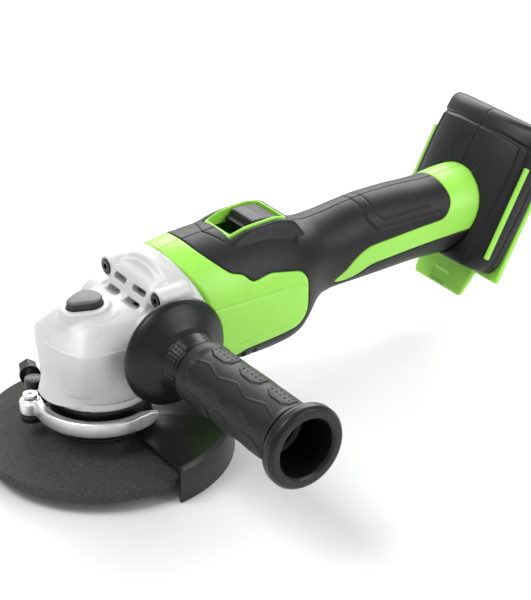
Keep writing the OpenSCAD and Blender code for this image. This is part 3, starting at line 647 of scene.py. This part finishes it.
def zone_d(x, y, z):
    """Negative where the green shell shows."""
    a = poly2_d(y, z, PANEL)
    b = poly2_d(y, z, STRIPE)
    c = smax(213 - y, 57.6 - z, 2.0)
    # a black boss round the upper front screw well, left side only
    a = np.where(x < 0, smax(a, 4.6 - length(y - 57.5, z - 86.9), 1.0), a)
    return np.minimum(np.minimum(a, b), c)


def nose_d(x, y):
    return np.where(y < 62, length(x, y - 93) - 56.5, 36.5 - y)


def switch_cut(x, y, z):
    return box_d(x, y - 89, z - 91.5, 12.3, 18.0, 6.0, 1.2)


POSTS = [(57.5, 30.4), (96, 30.8), (57.5, 86.9), (126, 46), (200, 74.5), (206, 46.5)]


def post_holes(x, y, z, d):
    for p in POSTS:
        rr = length(y - p[0], z - p[1])
        d = smax(d, -np.maximum(rr - 2.9, x + 12.2), 0.4)
    return d


def air_slots(x, y, z, d):
    c20, s20 = math.cos(math.radians(20)), math.sin(math.radians(20))
    for k in range(5):
        ly, lz = y - (48 + k * 7), z - 27
        u, v = ly * c20 + lz * s20, -ly * s20 + lz * c20
        d = smax(d, -box_d(np.zeros_like(x), u - 1.3, v - 4.5, 50, 1.3, 4.5, 1.0), 0.4)
    return d


def groove(dist, width, depth):
    return depth * (1 - sstep(width * 0.35, width, dist))


def green_d(x, y, z, side):
    o = outer_d(x, y, z)
    g = zone_d(x, y, z) + 0.12
    # two thin grooves on the flat side panel
    gr = groove(line2_d(y, z, [(47, 67.4), (100.5, 65.6), (104.3, 63)]), 0.75, 0.45)
    gr = np.maximum(gr, groove(line2_d(y, z, [(62, 43.2), (99, 44.4), (104.3, 48)]), 0.75, 0.4))
    oo = o + gr * (abs(x) > 24)
    d = np.minimum(smax(oo, g, 0.7), o + 1.7)
    inner = o + 4.0
    d = np.maximum(d, -inner)
    d = smax(d, nose_d(x, y), 0.8)
    d = np.maximum(d, np.maximum(to_block(y, z)[0] - 8.7, y - 246))
    d = np.maximum(d, -cyl_d(length(x, z - MZ), y, 28.8, 20, 42, 0.1))
    d = np.maximum(d, -switch_cut(x, y, z))
    d = np.maximum(d, -box_d(x, y - 92, z - 85.9, 5.2, 32, 2.1, 0.3))
    d = np.maximum(d, -box_d(x, y - 112, z - 78.5, 9, 14, 6.5, 0.3))
    d = post_holes(x, y, z, d)
    d = air_slots(x, y, z, d)
    return np.maximum(d, 0.05 - x * side)


def black_d(x, y, z, side):
    o = outer_d(x, y, z)
    g = zone_d(x, y, z)
    # grip contour lines and the seam piece ahead of the switch
    ax = abs(x)
    gr = groove(line2_d(y, z, [(157, 90), (157, 78), (161, 72.5), (203, 71)]), 0.8, 0.5)
    gr = np.maximum(gr, groove(line2_d(y, z, [(163, 90), (163, 80.5), (167, 76.5), (198, 75.3)]), 0.7, 0.35))
    gr = np.maximum(gr, groove(line2_d(y, z, [(50, 97), (62, 91.5), (66, 88)]) + 0 * x, 0.8, 0.0))
    gr = gr * (ax < 23)
    # cut line between the nose pad and the saddle
    gr = np.maximum(gr, groove(abs(y - 62.5 - 0.35 * ax), 0.7, 0.55) * (ax < 13) * (z > 80))
    d = smax(o + gr, -(g - 0.12), 0.8)
    d = np.maximum(d, -(o + 1.62))
    # front end rounded off in plan, where it meets the head
    d = smax(d, nose_d(x, y), 0.8)
    d = np.maximum(d, y - 226.2)
    d = np.maximum(d, -switch_cut(x, y, z))
    d = post_holes(x, y, z, d)
    d = air_slots(x, y, z, d)
    return smax(d, 0.07 - x * side, 0.25)


# ------------------------------------------------------------------ switch
SADDLE = hull_planes(mirrored([(19.5, 62, 86), (19.5, 114, 84), (14.6, 68.6, 90.8), (15.0, 79.5, 94.3), (15.0, 100, 94.9), (14.6, 109.4, 92.2)]))
BEZEL = hull_planes(mirrored([(11, 70.4, 88), (11, 70.4, 92.4), (12.1, 80, 88), (12.1, 80, 95.6), (12.1, 99.6, 96.2), (12.1, 99.6, 88), (12.1, 106.9, 93.4), (12.1, 106.9, 88)]))
BEZEL_IN = hull_planes(mirrored([(10.2, 72.6, 80), (10.2, 72.6, 100), (10.95, 80, 80), (10.95, 80, 100), (10.95, 104.9, 80), (10.95, 104.9, 100)]))
SLIDER = hull_planes(mirrored([(9.9, 85.2, 91), (9.9, 103, 91), (9.6, 87.0, 95.6), (9.6, 93.4, 95.8), (9.6, 102, 94.4)]))


def outer_d(x, y, z):
    return smin(body_d(x, y, z), planes_d(x, y, z, SADDLE, 0.5), 0.7)


def bezel_d(x, y, z):
    return smax(planes_d(x, y, z, BEZEL, 0.5), -planes_d(x, y, z, BEZEL_IN, 0.5), 0.6)


def slider_d(x, y, z):
    top = planes_d(x, y, z, SLIDER, 0.5)
    for k in range(6):
        yy = 94.4 + k * 1.35
        zz = 95.75 - (yy - 93.4) * 0.157
        top = smax(top, -(length(y - yy, z - zz - 0.25) - 0.55), 0.3)
    d = smin(top, box_d(x, y - 93.4, z - 90.3, 9.6, 10, 1.7, 0.5), 0.5)
    return np.minimum(d, box_d(x, y - 95, z - 87.2, 3, 3, 1.6, 0.3))


# ------------------------------------------------------------------ battery block, local (x, depth, up)
TA = math.radians(29)
CT, ST = math.cos(TA), math.sin(TA)


def to_block(y, z):
    dy, dz = y - 232, z - 60
    return dy * CT - dz * ST, dy * ST + dz * CT


def bslice(u, w, f):
    q = [(0, -11.2), (14, -11.2), (26, -8.6), (w - 2, -3.9), (w, 0.4), (w, 12.4)]
    return mirrored([(a, b * f if b < 12 else b, u) for a, b in q])


BLOCK = hull_planes(sum([bslice(*t) for t in ((-27.5, 31.5, .72), (-22, 36.0, .9), (4, 38, 1), (40, 38, .95), (54, 37, .74), (56.5, 35, .5))], []))
BLOCK_IN = [p for p in BLOCK if p[0][1] < 0.9]


def block_d(x, y, z, side):
    d, u = to_block(y, z)
    ax = abs(x)
    g = 0
    # lip under the top, lane lines along the sides, facet border on the front
    g = np.maximum(g, groove(abs(u - 45.6 + 0.08 * np.maximum(ax - 16, 0)), 1.5, 0.75))
    g = np.maximum(g, groove(abs(d + 5.6 - 0.02 * u), 0.8, 0.4) * (ax > 27) * (u < 43))
    g = np.maximum(g, groove(abs(d - 6.6), 0.8, 0.5) * (ax > 30) * (u < 43.5))
    pad = poly2_d(ax, u, round_poly([(-3, 18), (10.5, 19), (13, 27), (10.5, 36.5), (-3, 40)], 2, 4))
    g = np.maximum(g, 0.45 * (1 - sstep(-1.6, 0.2, pad)) * (d < 0))
    o = planes_d(x, d, u, BLOCK, 0.7) + g
    cav = planes_d(x, d, u, BLOCK_IN, 0.7) + 2.7
    o = smax(o, d - 12.35, 0.5)
    r = np.maximum(o, -cav)
    r = smax(r, -(body_d(x, y, z) - 0.14), 0.9)
    # recess for the screw well, left side only
    r = smax(r, -np.maximum(length(d, u - 42) - 2.9, x + 26), 0.4)
    return smax(r, 0.06 - x * side, 0.3)


def strip_d(x, y, z):
    d, u = to_block(y, z)
    s = box_d(abs(x) - 36.9, d + 1.5, u - 8, 1.35, 1.42, 26.7, 0.9)
    return s + 0.22 * np.sin(u * 2.6) ** 2 * sstep(26, 24, abs(u - 8))


FOOT = hull_planes(mirrored([(20, 10.2, -46.2), (20, 12.8, -46.2), (22, 10.2, -27), (22, 15.7, -27), (22, 10.2, -24), (22, 15.7, -24)]))


def liner_d(x, y, z):
    d, u = to_block(y, z)
    ax = abs(x)
    r = box_d(x, d - 14.2, u - 13, 37.5, 1.68, 43, 0.8)
    r = smin(r, planes_d(x, d, u, FOOT, 0.9), 1.2)
    rail = box_d(ax - 27, d - 19.4, u - 7, 2, 3.6, 33, 0.5)
    lip = box_d(ax - 25, d - 22, u - 7, 4, 1.15, 33, 0.5)
    r = smin(smin(r, rail, 0.8), lip, 0.5)
    for c, h in (((0, 34), (15, 10)), ((0, -7), (14, 13))):
        r = smax(r, -box_d(x - c[0], d - 13, u - c[1], h[0], 6, h[1], 2), 0.6)
    r = smax(r, -box_d(x, d - 8.5, u + 40.5, 6, 2.5, 3.5, 1), 0.6)
    for k in range(3):
        r = smax(r, -box_d(ax - 31.8, d - 16.4, u - 50 + k * 4, 3.2, 1.0, 0.8, 0.6), 0.3)
    return r


# ------------------------------------------------------------------ side handle, local t along +X
CORE = [(29.6, -5), (29.6, 11), (34, 11.6), (36.6, 20), (37.8, 25.4), (39.2, 27.4), (40.8, 28), (42.6, 27.7), (44.6, 26.4), (46.6, 24.2), (48.4, 21.6), (50.0, 19.0),
        (51.6, 16.9), (54, 15.2), (57.4, 14.3), (60, 13.6), (63, 14), (64.4, 14.4), (135.7, 14.4), (137.6, 16), (140.4, 20), (142, 20.7), (145.5, 20.7), (147.1, 19.6), (147.5, 18.6),
        (147.5, 15.6), (146.3, 14.5), (141, 13.3), (126, 12.9), (125, 10.6), (104, 10.6), (104, -5)]


def dots(a, b, step, r):
    """Small round studs on a square grid."""
    fa, fb = a / step, b / step
    ra, rb = fa - np.round(fa), fb - np.round(fb)
    return 1 - sstep(r * 0.45, r, step * length(ra, rb))


def core_d(x, y, z):
    ry, rz = y - 18, z - MZ
    rho = length(ry, rz)
    d = poly2_d(x, rho, CORE) - 0.0
    ang = np.arctan2(rz, ry)
    # dotted grip patches on the neck, three round it
    k = (ang * 3 / (2 * math.pi) - 0.25)
    k = (k - np.round(k)) * 2 * math.pi / 3 * 16
    patch = box_d(k, x - 57.6, 0 * x, 9.0, 4.4, 10, 2.0)
    d = d - 0.3 * dots(k, x, 2.1, 0.8) * (patch < -0.5) * (rho > 12)
    d = d + groove(abs(patch), 0.7, 0.3) * (rho > 12) * (x > 50) * (x < 63)
    # cup ribs in the end opening
    d = np.maximum(d, -cyl_d(rho, x, 3.9, 17, 52, 0))
    return np.maximum(d, -cyl_d(rho, x, 5.9, 34, 46, 0))


def grip_d(x, y, z):
    ry, rz = y - 18, z - MZ
    rho = length(ry, rz)
    ang = np.arctan2(rz, ry)
    tx = np.array([64.0, 66, 70, 73, 76, 92, 112, 128, 133, 136])
    tr = np.array([15.4, 15.9, 15.9, 15.35, 15.5, 15.7, 15.7, 15.55, 15.6, 16.3])
    R = np.interp(x, tx, tr)
    pads = 0
    dd = 0
    k = (ang - math.radians(77)) / (2 * math.pi) * 3
    c = (k - np.round(k)) * 2 * math.pi / 3 * 15.8
    for row in (80, 102, 124):
        t = x - row - 0.25 * c
        rd = np.maximum(np.maximum(abs(c) - 5.9, abs(t) - 8.6), (abs(c) / 6.8 + abs(t) / 11.5 - 1.22) * 5.5)
        pads = np.maximum(pads, 1 - sstep(-0.8, 0.1, rd))
        dd = np.maximum(dd, dots(c + 1.6, t, 3.2, 0.95) * (rd < -1.6))
    # low zigzag ribs between the rows
    zig = abs(abs(c) - 10.2 - 1.6 * np.abs(((x - 69) / 11) % 2 - 1) * 2)
    rib = (1 - sstep(0.35, 0.9, zig)) * (abs(x - 102) < 31)
    R = R + 0.62 * pads - 0.34 * dd + 0.22 * rib
    d = (rho - np.minimum(R, 16.38)) * 0.92
    d = smax(d, abs(x - 100.3) - 35.6, 0.6)
    return np.maximum(d, 14.45 - rho)


# ------------------------------------------------------------------ clamp lever and lock button
def lever_d(x, y, z):
    a = np.degrees(np.arctan2(y, x))
    rad = length(x, y)
    ka = np.array([-108.0, 10, 16, 24])
    ri = np.interp(a, ka, [29.2, 29.2, 31.0, 32.4])
    ro = np.interp(a, ka, [34.0, 34.0, 34.2, 34.9])
    hz = np.interp(a, ka, [4.0, 4.0, 3.9, 2.0])
    over = np.maximum(-108 - a, a - 24) * math.pi / 180 * 31.6
    cz = z - 19.8
    bulge = 0.5 * np.maximum(0, 1 - (cz / 4.2) ** 2)
    q = np.maximum(box_d(rad - (ri + ro) / 2 + 0.25, cz, 0 * x, (ro - ri) / 2 - 0.25, hz, 9, 0.9) - bulge * 0.25, over)
    px, py = x + 14, y + 32
    pr = length(px, py)
    boss = cyl_d(pr, z, 5.6, 15.8, 22.6, 0.7)
    boss = smin(boss, cyl_d(pr, z, 4.5, 16, 23.8, 0.5), 0.3)
    d = smin(q, boss, 2.0)
    nx, ny = math.cos(math.radians(6)) * 37.4, math.sin(math.radians(6)) * 37.4
    d = smax(d, -(length(x - nx, y - ny) - 4), 0.4)
    return np.maximum(d, -cyl_d(pr, z, 2.5, 10, 30, 0))


def button_d(x, y, z):
    b = button2(x, y)
    top = 79.3 - 0.012 * ((x * 0.9) ** 2 + (y + 7.4) ** 2)
    d = smax(b + 0.02, z - top, 1.4)
    d = np.maximum(d, 74.2 - z)
    r = length(x, y + 9.6)
    # pocket for the return spring
    d = np.maximum(d, -np.maximum(np.maximum(r - 3.42, 2.34 - r), z - 78.25))
    return np.maximum(d, -cyl_d(r, z, 2.0, 73, 77, 0))


def button_with_painted_shade():
    c = srgb(92, 92, 94)
    m = Mat("button_painted_side_shade", c, 0.45)
    sep = m.node("ShaderNodeSeparateXYZ")
    m.link(m.co, sep.inputs["Vector"])
    # painted shade: below the top cap (Z under 77.4 mm) the button's sides are painted dark, while the cap keeps the
    # lighter grey
    mr = m.node("ShaderNodeMapRange")
    mr.inputs["From Min"].default_value = 0.0774
    mr.inputs["From Max"].default_value = 0.0781
    m.link(sep.outputs["Z"], mr.inputs["Value"])
    m.color_from(mr.outputs["Result"], srgb(40, 40, 42), c, 0.1, 0.9)
    m.bump(m.noise(2600, 3), 0.00005, 0.5)
    m.rough_from(m.noise(260, 3), 0.4, 0.52)
    return m.m


# ------------------------------------------------------------------ lathe parts
def lathe(profile, n, body, name, material, replaces, corner=0.35, wave=None):
    """profile: closed (radius, z) outline in mm, about Z."""
    pts = round_poly(profile, corner, 4)
    # long runs are cut so that the surface can carry detail
    out = []
    for i, p in enumerate(pts):
        q = pts[(i + 1) % len(pts)]
        L = math.dist(p, q)
        k = max(1, int(L / 2.2))
        for j in range(k):
            out.append((p[0] + (q[0] - p[0]) * j / k, p[1] + (q[1] - p[1]) * j / k))
    P = np.array(out)
    m = len(P)
    a = np.arange(n) * 2 * math.pi / n
    v = np.stack([P[None, :, 0] * np.cos(a)[:, None], P[None, :, 0] * np.sin(a)[:, None], np.repeat(P[None, :, 1], n, 0)], -1)
    if wave is not None:
        v[:, :, 2] += wave(P[None, :, 0] + 0 * a[:, None], a[:, None] + 0 * P[None, :, 0], v[:, :, 2])
    idx = np.arange(n * m).reshape(n, m)
    r = np.roll(idx, -1, 0)
    f = np.stack([idx, r, np.roll(r, -1, 1), np.roll(idx, -1, 1)], -1).reshape(-1, 4)
    area = 0.5 * np.sum(P[:, 0] * np.roll(P[:, 1], -1) - np.roll(P[:, 0], -1) * P[:, 1])
    if area < 0:
        f = f[:, ::-1]
    return new_object(name, v.reshape(-1, 3), f, body, material, replaces)


# ------------------------------------------------------------------ build the pieces
def both(fn, *args):
    return lambda x, y, z: fn(x, y, z, *args)


sdf_piece("head_casting", head_d, (-32, -31, 31), (32, 45.5, 91), 0.52, "housing", M["cast"], ["gear_housing"])
for side, tag in ((-1, "left"), (1, "right")):
    lo, hi = ((-35, 34, 22), (0.5, 247, 97)) if side < 0 else ((-0.5, 34, 22), (35, 247, 97))
    sdf_piece("motor_shell_" + tag, both(green_d, side), lo, hi, 0.62, "housing", M["green_plastic"], ["shell_" + tag])
    sdf_piece("soft_cover_" + tag, both(black_d, side), lo, (hi[0], 228, 97), 0.58, "housing", M["soft_grip"], ["overmould_" + tag])
    lo, hi = ((-39.5, 200, 25), (0.5, 282, 120)) if side < 0 else ((-0.5, 200, 25), (39.5, 282, 120))
    sdf_piece("dock_block_" + tag, both(block_d, side), lo, hi, 0.62, "housing", M["black_plastic"], ["block_" + tag])
sdf_piece("dock_rails", liner_d, (-39, 205, 8), (39, 285, 118), 0.62, "housing", M["green_plastic"], ["dock_liner"])
sdf_piece("side_trims", strip_d, (-39.5, 215, 35), (39.5, 262, 98), 0.4, "housing", M["green_plastic"], ["side_strips"])
sdf_piece("switch_frame", bezel_d, (-13, 69.5, 87), (13, 108, 97.5), 0.35, "housing", M["green_plastic"], ["switch_bezel"])
sdf_piece("switch_thumb", slider_d, (-10.5, 82, 85), (10.5, 104.5, 97), 0.3, "switch", M["black_plastic"], ["switch_slider"])
sdf_piece("handle_body", core_d, (28.5, -12, 28), (148.5, 48, 90), 0.5, "side_handle", M["handle_rubber"], ["side_handle_core"])
sdf_piece("handle_sleeve", grip_d, (63.5, 0.5, 41.5), (137, 35.5, 76.5), 0.4, "side_handle", M["soft_grip"], ["side_handle_grip"])
sdf_piece("guard_lever", lever_d, (-36, -39, 15), (37, 17, 25), 0.34, "clamp_lever", M["lever_metal"], ["clamp_lever"])
sdf_piece("lock_cap", button_d, (-8.5, -17.5, 73.5), (8.5, 4, 81), 0.2, "lock", button_with_painted_shade(), ["lock_button"])

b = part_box("grinding_disc")
RD = b[1].x * 1000
LOZ = b[0].z * 1000


def disc_wave(r, a, z):
    t = np.sin(a * 37 + r * 1.9) * 0.35 + np.sin(a * 91 - r * 2.7) * 0.3 + np.sin(a * 173 + r * 0.9) * 0.35
    return 0.09 * t * ((r > 24) & (r < RD - 0.8))


dz = np.array([v.co[:] for v in NODES["grinding_disc"].data.vertices]) * 1000
rim = dz[np.hypot(dz[:, 0], dz[:, 1]) > RD - 1.2]
TH = rim[:, 2].max() - rim[:, 2].min()
lathe([(12.2, 4), (20.8, 4), (27, LOZ), (RD - 0.6, LOZ), (RD, LOZ + 0.5), (RD, LOZ + TH - 0.5), (RD - 0.6, LOZ + TH), (28.5, LOZ + TH), (21.2, 9.9), (12.2, 9.9)],
      300, "spindle", "disc_wheel", M["abrasive"], ["grinding_disc"], 0.3, disc_wave)

# CAD pieces that stay: small rounded edges and smooth round faces
for n, o in NODES.items():
    if o.hide_render:
        continue
    me = o.data
    me.polygons.foreach_set("use_smooth", np.ones(len(me.polygons), bool))
    w = o.modifiers.new("weld", "WELD")
    w.merge_threshold = 1e-6
    bv = o.modifiers.new("edges", "BEVEL")
    bv.limit_method = "ANGLE"
    bv.angle_limit = math.radians(33)
    bv.width = 0.00016
    bv.segments = 2
    bv.harden_normals = True

# ------------------------------------------------------------------ stage, light and camera
low = min((o.matrix_world @ Vector(c)).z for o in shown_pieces() for c in o.bound_box)
bpy.ops.mesh.primitive_plane_add(size=12, location=(0, 0, low - 0.0004))
floor = bpy.context.object
floor.name = "floor"
fm = Mat("floor_paint", (0.86, 0.86, 0.86, 1), 0.7)
fm.color_from(fm.noise(3, 2), (0.86, 0.86, 0.86, 1), (0.875, 0.875, 0.875, 1))
floor.data.materials.append(fm.m)
floor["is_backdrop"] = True

world = bpy.data.worlds.new("studio")
bpy.context.scene.world = world
world.use_nodes = True
bg = world.node_tree.nodes["Background"]
bg.inputs["Color"].default_value = (1, 1, 1, 1)
bg.inputs["Strength"].default_value = 0.55


def softbox(name, at, to, size, power, size_y=None):
    l = bpy.data.lights.new(name, "AREA")
    l.energy = power
    l.shape = "RECTANGLE"
    l.size = size
    l.size_y = size_y or size
    ob = bpy.data.objects.new(name, l)
    bpy.context.scene.collection.objects.link(ob)
    ob.location = at
    ob.rotation_euler = (Vector(to) - Vector(at)).to_track_quat("-Z", "Y").to_euler()
    ob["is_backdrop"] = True
    return ob


AZ, EL = math.radians(54.04015668637217), math.radians(28.793664624135037)
R_ = Vector((math.cos(AZ), math.sin(AZ), 0))
B_ = Vector((math.sin(AZ) * math.cos(EL), -math.cos(AZ) * math.cos(EL), math.sin(EL)))
U_ = B_.cross(R_)
mid = Vector((0.02, 0.12, 0.05))
softbox("key", mid - R_ * 0.75 + B_ * 0.35 + Vector((0, 0, 1.1)), mid, 0.9, 12, 0.6)
softbox("fill", mid + R_ * 1.0 + B_ * 0.5 + Vector((0, 0, 0.5)), mid, 0.9, 8)
softbox("rim", mid - B_ * 0.9 + Vector((0, 0, 0.9)), mid, 1.1, 9, 0.5)

cam_data = bpy.data.cameras.new("camera")
cam = bpy.data.objects.new("camera", cam_data)
bpy.context.scene.collection.objects.link(cam)
cam_data.lens = 1972.529886456122 * 36 / 600
cam_data.sensor_width = 36
cam_data.clip_start = 0.05
cam_data.clip_end = 30
pos = (82.4208529208932 * R_ + 65.47888990173692 * U_ + 995.4330059685866 * B_) * 0.001
cam.matrix_world = Matrix.Translation(pos) @ Matrix((R_, U_, B_)).transposed().to_4x4()
bpy.context.scene.camera = cam
bpy.context.scene.view_settings.view_transform = "Standard"
